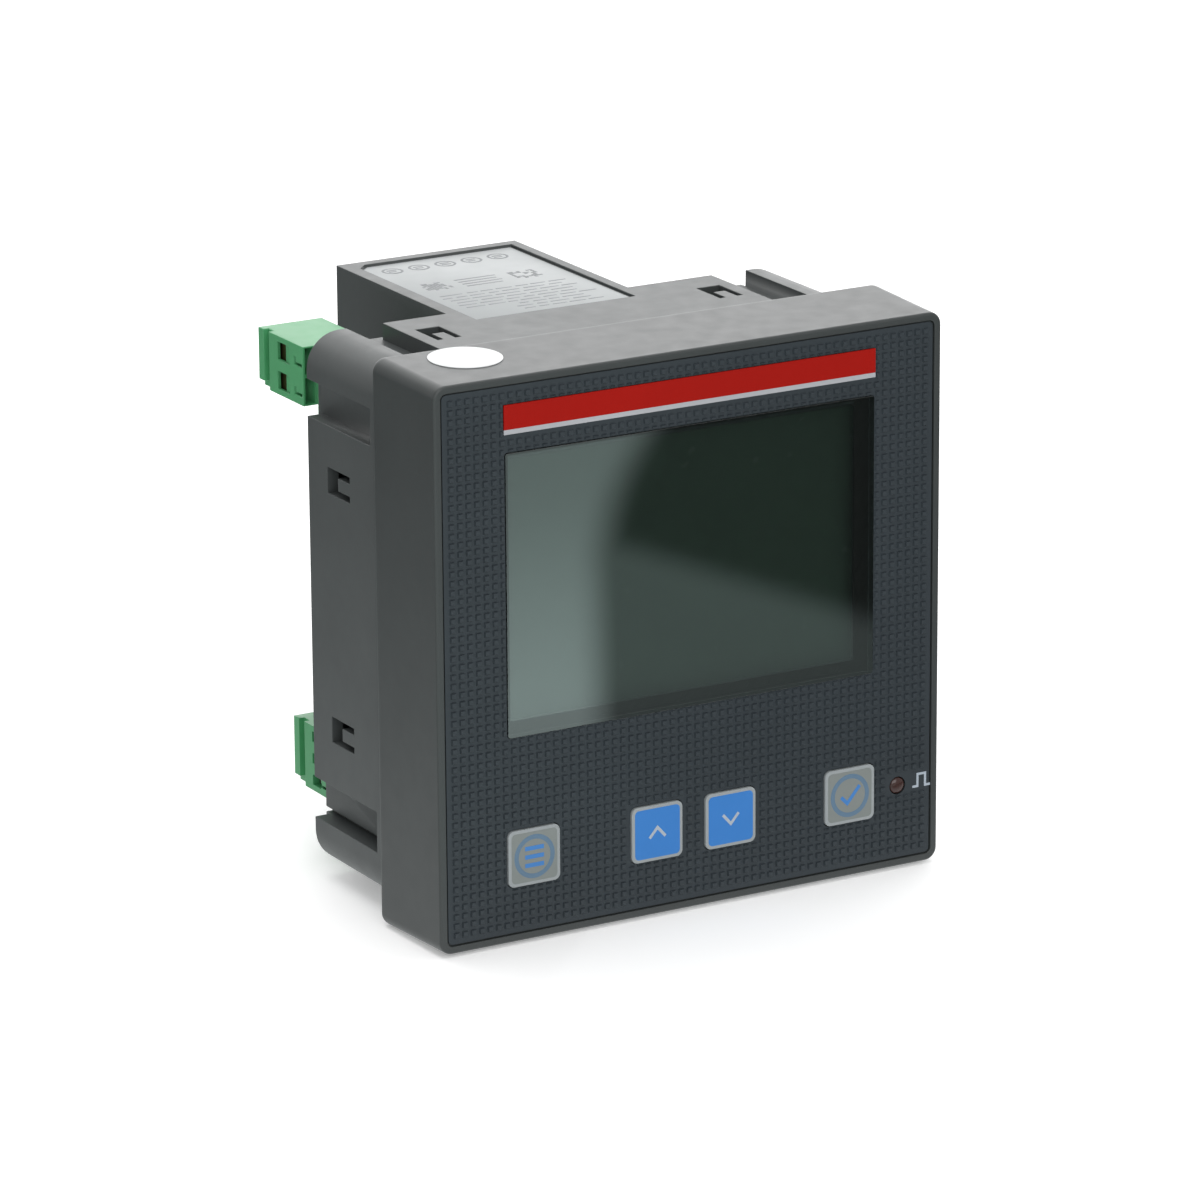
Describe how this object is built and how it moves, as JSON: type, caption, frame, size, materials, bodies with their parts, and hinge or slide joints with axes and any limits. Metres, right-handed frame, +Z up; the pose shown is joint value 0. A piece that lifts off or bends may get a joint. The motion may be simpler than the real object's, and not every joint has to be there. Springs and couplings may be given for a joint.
{
  "type": "smart electric meter",
  "caption": "Square panel-mounted smart electric meter with a display, press keys and unpluggable terminal blocks.",
  "frame": {"origin": "centre of the bezel's rear face, where the meter seats on its panel", "axes": "+X to the right seen from the front, +Y to the rear through the panel, +Z up"},
  "size_m": [0.096, 0.0861, 0.0961],
  "materials": {
    "housing_plastic": "satin, fine moulded texture",
    "front_film": "matt film with raised square pads",
    "header_red": "printed, satin",
    "window_clear": "clear, polished",
    "black_plastic": "satin",
    "lcd_glass": "dark grey-green, unlit",
    "backlight_white": "diffusing",
    "led_lens": "clear, unlit",
    "circuit_board": "solder resist",
    "key_silver": "satin",
    "key_blue": "satin",
    "label_stock": "satin foil",
    "sticker_white": "matt",
    "plug_green": "satin",
    "screw_steel": "zinc plated",
    "clamp_brass": "machined",
    "contact_tin": "tin plated",
    "transformer_yellow": "wound tape",
    "capacitor_sleeve": "shrink sleeve",
    "sensor_blue": "potted case"
  },
  "bodies": {
    "root": {"bezel": "housing_plastic", "main_housing": "housing_plastic", "rear_panel": "housing_plastic", "front_film": "front_film", "header_strip": "header_red", "display_window": "window_clear", "display_frame": "black_plastic", "tact_switches": "black_plastic", "board_connector": "black_plastic", "current_terminal": "black_plastic", "lcd_glass": "lcd_glass", "backlight": "backlight_white", "pulse_led": "led_lens", "display_board": "circuit_board", "main_board": "circuit_board", "rating_label": "label_stock", "round_sticker": "sticker_white", "supply_header": "plug_green", "comms_header": "plug_green", "voltage_header": "plug_green", "panel_screws": "screw_steel", "terminal_bars": "clamp_brass", "header_pins": "contact_tin", "supply_transformer": "transformer_yellow", "supply_capacitors": "capacitor_sleeve", "current_transformers": "sensor_blue"},
    "menu_key": {"menu_key": "key_silver"},
    "up_key": {"up_key": "key_blue"},
    "down_key": {"down_key": "key_blue"},
    "enter_key": {"enter_key": "key_silver"},
    "supply_plug": {"supply_plug": "plug_green", "supply_contacts": "contact_tin"},
    "supply_screw_1": {"supply_screw_1": "screw_steel"},
    "supply_cage_1": {"supply_cage_1": "clamp_brass"},
    "supply_screw_2": {"supply_screw_2": "screw_steel"},
    "supply_cage_2": {"supply_cage_2": "clamp_brass"},
    "comms_plug": {"comms_plug": "plug_green", "comms_contacts": "contact_tin"},
    "comms_screw_1": {"comms_screw_1": "screw_steel"},
    "comms_cage_1": {"comms_cage_1": "clamp_brass"},
    "comms_screw_2": {"comms_screw_2": "screw_steel"},
    "comms_cage_2": {"comms_cage_2": "clamp_brass"},
    "comms_screw_3": {"comms_screw_3": "screw_steel"},
    "comms_cage_3": {"comms_cage_3": "clamp_brass"},
    "voltage_plug": {"voltage_plug": "plug_green", "voltage_contacts": "contact_tin"},
    "voltage_screw_1": {"voltage_screw_1": "screw_steel"},
    "voltage_cage_1": {"voltage_cage_1": "clamp_brass"},
    "voltage_screw_2": {"voltage_screw_2": "screw_steel"},
    "voltage_cage_2": {"voltage_cage_2": "clamp_brass"},
    "voltage_screw_3": {"voltage_screw_3": "screw_steel"},
    "voltage_cage_3": {"voltage_cage_3": "clamp_brass"},
    "voltage_screw_4": {"voltage_screw_4": "screw_steel"},
    "voltage_cage_4": {"voltage_cage_4": "clamp_brass"},
    "current_screw_1": {"current_screw_1": "screw_steel"},
    "current_screw_2": {"current_screw_2": "screw_steel"},
    "current_screw_3": {"current_screw_3": "screw_steel"},
    "current_screw_4": {"current_screw_4": "screw_steel"},
    "current_screw_5": {"current_screw_5": "screw_steel"},
    "current_screw_6": {"current_screw_6": "screw_steel"}
  },
  "joints": [
    {"name": "menu_key_press", "type": "slide", "parent": "root", "child": "menu_key", "axis": [0, 1, 0], "range_m": [0, 0.0005], "stiffness_N_per_m": 1500, "springref_m": -0.0003},
    {"name": "up_key_press", "type": "slide", "parent": "root", "child": "up_key", "axis": [0, 1, 0], "range_m": [0, 0.0005], "stiffness_N_per_m": 1500, "springref_m": -0.0003},
    {"name": "down_key_press", "type": "slide", "parent": "root", "child": "down_key", "axis": [0, 1, 0], "range_m": [0, 0.0005], "stiffness_N_per_m": 1500, "springref_m": -0.0003},
    {"name": "enter_key_press", "type": "slide", "parent": "root", "child": "enter_key", "axis": [0, 1, 0], "range_m": [0, 0.0005], "stiffness_N_per_m": 1500, "springref_m": -0.0003},
    {"name": "supply_unplug", "type": "slide", "parent": "root", "child": "supply_plug", "axis": [0, 1, 0], "range_m": [0, 0.012]},
    {"name": "supply_screw_1_turn", "type": "hinge", "parent": "supply_plug", "child": "supply_screw_1", "pos_m": [-0.0323, 0.0446, 0.03346], "axis": [-1, 0, 0], "range_deg": [0, 1370]},
    {"name": "supply_cage_1_rise", "type": "slide", "parent": "supply_plug", "child": "supply_cage_1", "axis": [1, 0, 0], "range_m": [0, 0.0019]},
    {"name": "supply_screw_2_turn", "type": "hinge", "parent": "supply_plug", "child": "supply_screw_2", "pos_m": [-0.0323, 0.0446, 0.03854], "axis": [-1, 0, 0], "range_deg": [0, 1370]},
    {"name": "supply_cage_2_rise", "type": "slide", "parent": "supply_plug", "child": "supply_cage_2", "axis": [1, 0, 0], "range_m": [0, 0.0019]},
    {"name": "comms_unplug", "type": "slide", "parent": "root", "child": "comms_plug", "axis": [0, 1, 0], "range_m": [0, 0.01]},
    {"name": "comms_screw_1_turn", "type": "hinge", "parent": "comms_plug", "child": "comms_screw_1", "pos_m": [-0.0333, 0.0353, -0.03381], "axis": [-1, 0, 0], "range_deg": [0, 1262]},
    {"name": "comms_cage_1_rise", "type": "slide", "parent": "comms_plug", "child": "comms_cage_1", "axis": [1, 0, 0], "range_m": [0, 0.0014]},
    {"name": "comms_screw_2_turn", "type": "hinge", "parent": "comms_plug", "child": "comms_screw_2", "pos_m": [-0.0333, 0.0353, -0.03], "axis": [-1, 0, 0], "range_deg": [0, 1262]},
    {"name": "comms_cage_2_rise", "type": "slide", "parent": "comms_plug", "child": "comms_cage_2", "axis": [1, 0, 0], "range_m": [0, 0.0014]},
    {"name": "comms_screw_3_turn", "type": "hinge", "parent": "comms_plug", "child": "comms_screw_3", "pos_m": [-0.0333, 0.0353, -0.02619], "axis": [-1, 0, 0], "range_deg": [0, 1262]},
    {"name": "comms_cage_3_rise", "type": "slide", "parent": "comms_plug", "child": "comms_cage_3", "axis": [1, 0, 0], "range_m": [0, 0.0014]},
    {"name": "voltage_unplug", "type": "slide", "parent": "root", "child": "voltage_plug", "axis": [0, 1, 0], "range_m": [0, 0.012]},
    {"name": "voltage_screw_1_turn", "type": "hinge", "parent": "voltage_plug", "child": "voltage_screw_1", "pos_m": [0.0323, 0.0446, 0.01488], "axis": [1, 0, 0], "range_deg": [0, 1370]},
    {"name": "voltage_cage_1_rise", "type": "slide", "parent": "voltage_plug", "child": "voltage_cage_1", "axis": [-1, 0, 0], "range_m": [0, 0.0019]},
    {"name": "voltage_screw_2_turn", "type": "hinge", "parent": "voltage_plug", "child": "voltage_screw_2", "pos_m": [0.0323, 0.0446, 0.01996], "axis": [1, 0, 0], "range_deg": [0, 1370]},
    {"name": "voltage_cage_2_rise", "type": "slide", "parent": "voltage_plug", "child": "voltage_cage_2", "axis": [-1, 0, 0], "range_m": [0, 0.0019]},
    {"name": "voltage_screw_3_turn", "type": "hinge", "parent": "voltage_plug", "child": "voltage_screw_3", "pos_m": [0.0323, 0.0446, 0.02504], "axis": [1, 0, 0], "range_deg": [0, 1370]},
    {"name": "voltage_cage_3_rise", "type": "slide", "parent": "voltage_plug", "child": "voltage_cage_3", "axis": [-1, 0, 0], "range_m": [0, 0.0019]},
    {"name": "voltage_screw_4_turn", "type": "hinge", "parent": "voltage_plug", "child": "voltage_screw_4", "pos_m": [0.0323, 0.0446, 0.03012], "axis": [1, 0, 0], "range_deg": [0, 1370]},
    {"name": "voltage_cage_4_rise", "type": "slide", "parent": "voltage_plug", "child": "voltage_cage_4", "axis": [-1, 0, 0], "range_m": [0, 0.0019]},
    {"name": "current_screw_1_turn", "type": "hinge", "parent": "root", "child": "current_screw_1", "pos_m": [0.001, 0.057, -0.03125], "axis": [0, -1, 0], "range_deg": [-720, 0]},
    {"name": "current_screw_2_turn", "type": "hinge", "parent": "root", "child": "current_screw_2", "pos_m": [0.001, 0.057, -0.01875], "axis": [0, -1, 0], "range_deg": [-720, 0]},
    {"name": "current_screw_3_turn", "type": "hinge", "parent": "root", "child": "current_screw_3", "pos_m": [0.001, 0.057, -0.00625], "axis": [0, -1, 0], "range_deg": [-720, 0]},
    {"name": "current_screw_4_turn", "type": "hinge", "parent": "root", "child": "current_screw_4", "pos_m": [0.001, 0.057, 0.00625], "axis": [0, -1, 0], "range_deg": [-720, 0]},
    {"name": "current_screw_5_turn", "type": "hinge", "parent": "root", "child": "current_screw_5", "pos_m": [0.001, 0.057, 0.01875], "axis": [0, -1, 0], "range_deg": [-720, 0]},
    {"name": "current_screw_6_turn", "type": "hinge", "parent": "root", "child": "current_screw_6", "pos_m": [0.001, 0.057, 0.03125], "axis": [0, -1, 0], "range_deg": [-720, 0]}
  ],
  "couplings": [
    {"joint": "supply_screw_1_turn", "follows": "supply_cage_1_rise", "rad_per_m": 12566},
    {"joint": "supply_screw_2_turn", "follows": "supply_cage_2_rise", "rad_per_m": 12566},
    {"joint": "comms_screw_1_turn", "follows": "comms_cage_1_rise", "rad_per_m": 15708},
    {"joint": "comms_screw_2_turn", "follows": "comms_cage_2_rise", "rad_per_m": 15708},
    {"joint": "comms_screw_3_turn", "follows": "comms_cage_3_rise", "rad_per_m": 15708},
    {"joint": "voltage_screw_1_turn", "follows": "voltage_cage_1_rise", "rad_per_m": 12566},
    {"joint": "voltage_screw_2_turn", "follows": "voltage_cage_2_rise", "rad_per_m": 12566},
    {"joint": "voltage_screw_3_turn", "follows": "voltage_cage_3_rise", "rad_per_m": 12566},
    {"joint": "voltage_screw_4_turn", "follows": "voltage_cage_4_rise", "rad_per_m": 12566}
  ]
}
